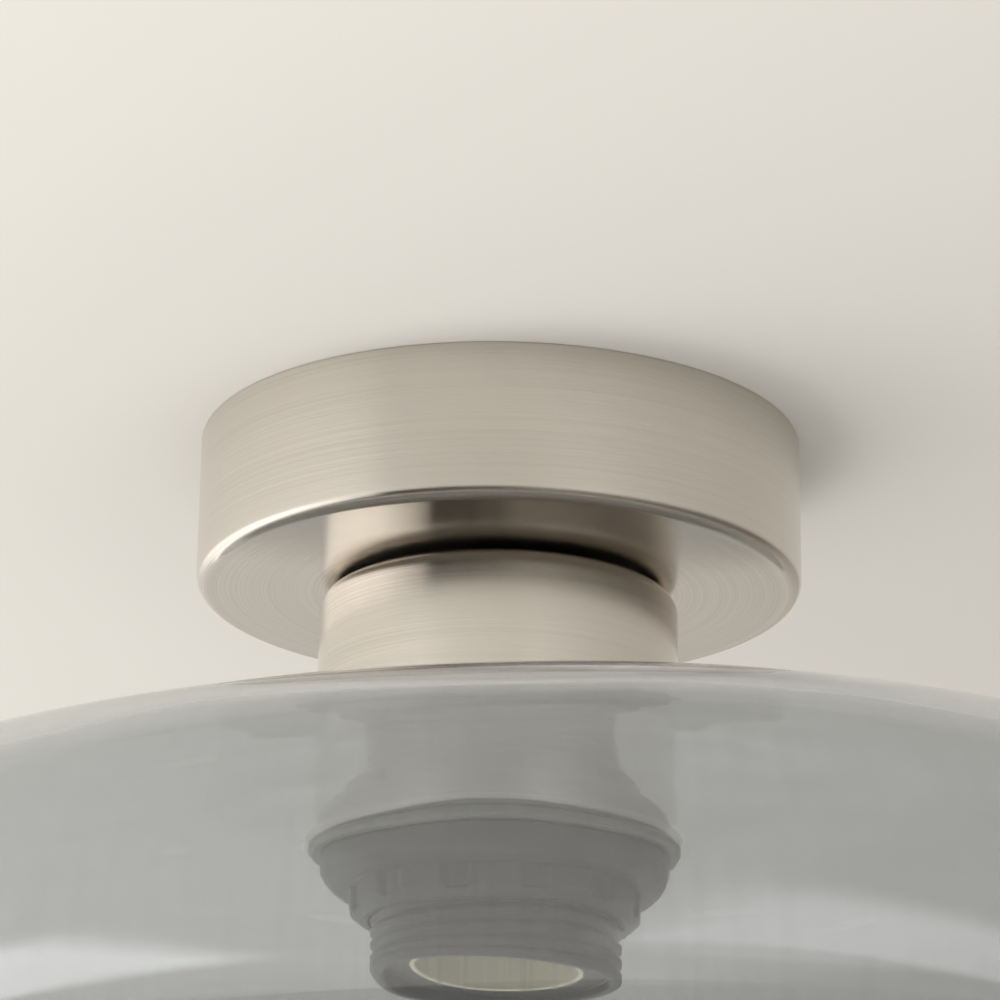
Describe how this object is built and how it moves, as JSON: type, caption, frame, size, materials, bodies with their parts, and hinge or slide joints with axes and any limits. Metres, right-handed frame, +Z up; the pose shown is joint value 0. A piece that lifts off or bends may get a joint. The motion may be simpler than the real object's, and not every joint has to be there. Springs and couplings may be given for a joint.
{
  "type": "ceiling light",
  "caption": "Flush mount ceiling light: brushed metal drum canopy and cup under it, with a wide shallow open smoky glass shade round a screw lampholder.",
  "frame": {"origin": "centre of the ceiling bracket's upper face, on the light's axis, in the plane of the ceiling", "axes": "+Z up into the ceiling; +X along the bracket, through its two screw slots; -Y is the side the picture is taken from"},
  "size_m": [0.2998, 0.3, 0.162],
  "materials": {
    "brushed_nickel": "satin, brushed round the drum",
    "zinc_steel": "zinc plated",
    "smoky_glass": "polished, hand blown, smoke grey",
    "black_plastic": "moulded, fine satin",
    "cream_plastic": "moulded",
    "white_plastic": "moulded",
    "white_ceramic": "unglazed steatite",
    "brass": "rolled",
    "clear_silicone": "translucent",
    "brown_sleeve": "insulation",
    "blue_sleeve": "insulation"
  },
  "bodies": {
    "mounting": {"ceiling_bracket": "zinc_steel"},
    "fixture": {"canopy": "brushed_nickel", "canopy_screw_bosses": "zinc_steel", "threaded_rod": "zinc_steel", "canopy_washer": "zinc_steel", "upper_nut": "zinc_steel", "gap_spacer": "zinc_steel", "cup_washer": "zinc_steel", "lower_nut": "zinc_steel", "lamp_cup": "brushed_nickel", "lampholder_cap": "black_plastic", "lampholder_skirt": "black_plastic", "ceramic_insert": "white_ceramic", "screw_shell": "brass", "insulating_collar": "cream_plastic", "live_terminal": "brass", "neutral_terminal": "brass", "insert_screws": "brass", "terminal_block": "white_plastic", "block_screws": "zinc_steel", "block_stud": "zinc_steel", "block_nut": "zinc_steel", "earth_stud": "brass", "earth_clamp": "brass", "live_wire": "brown_sleeve", "neutral_wire": "blue_sleeve"},
    "screw_left": {"canopy_screw_left": "zinc_steel"},
    "screw_right": {"canopy_screw_right": "zinc_steel"},
    "contact": {"centre_contact": "brass"},
    "shade": {"upper_gasket": "clear_silicone", "glass_shade": "smoky_glass", "lower_washer": "clear_silicone"},
    "ring": {"shade_ring": "black_plastic"}
  },
  "joints": [
    {"name": "canopy_drop", "type": "slide", "parent": "mounting", "child": "fixture", "axis": [0, 0, -1], "range_m": [0, 0.03]},
    {"name": "left_screw_travel", "type": "slide", "parent": "fixture", "child": "screw_left", "axis": [-1, 0, 0], "range_m": [0, 0.0045]},
    {"name": "right_screw_travel", "type": "slide", "parent": "fixture", "child": "screw_right", "axis": [1, 0, 0], "range_m": [0, 0.0045]},
    {"name": "contact_flex", "type": "hinge", "parent": "fixture", "child": "contact", "pos_m": [0.008, 0, -0.06225], "axis": [0, 1, 0], "range_deg": [0, 6], "stiffness_Nm_per_rad": 0.3},
    {"name": "shade_lower", "type": "slide", "parent": "fixture", "child": "shade", "axis": [0, 0, -1], "range_m": [0, 0.0189]},
    {"name": "ring_turn", "type": "hinge", "parent": "shade", "child": "ring", "pos_m": [0, 0, -0.072], "axis": [0, 0, -1], "range_deg": [0, 2521]}
  ],
  "couplings": [
    {"joint": "ring_turn", "follows": "shade_lower", "rad_per_m": 2327.1}
  ]
}
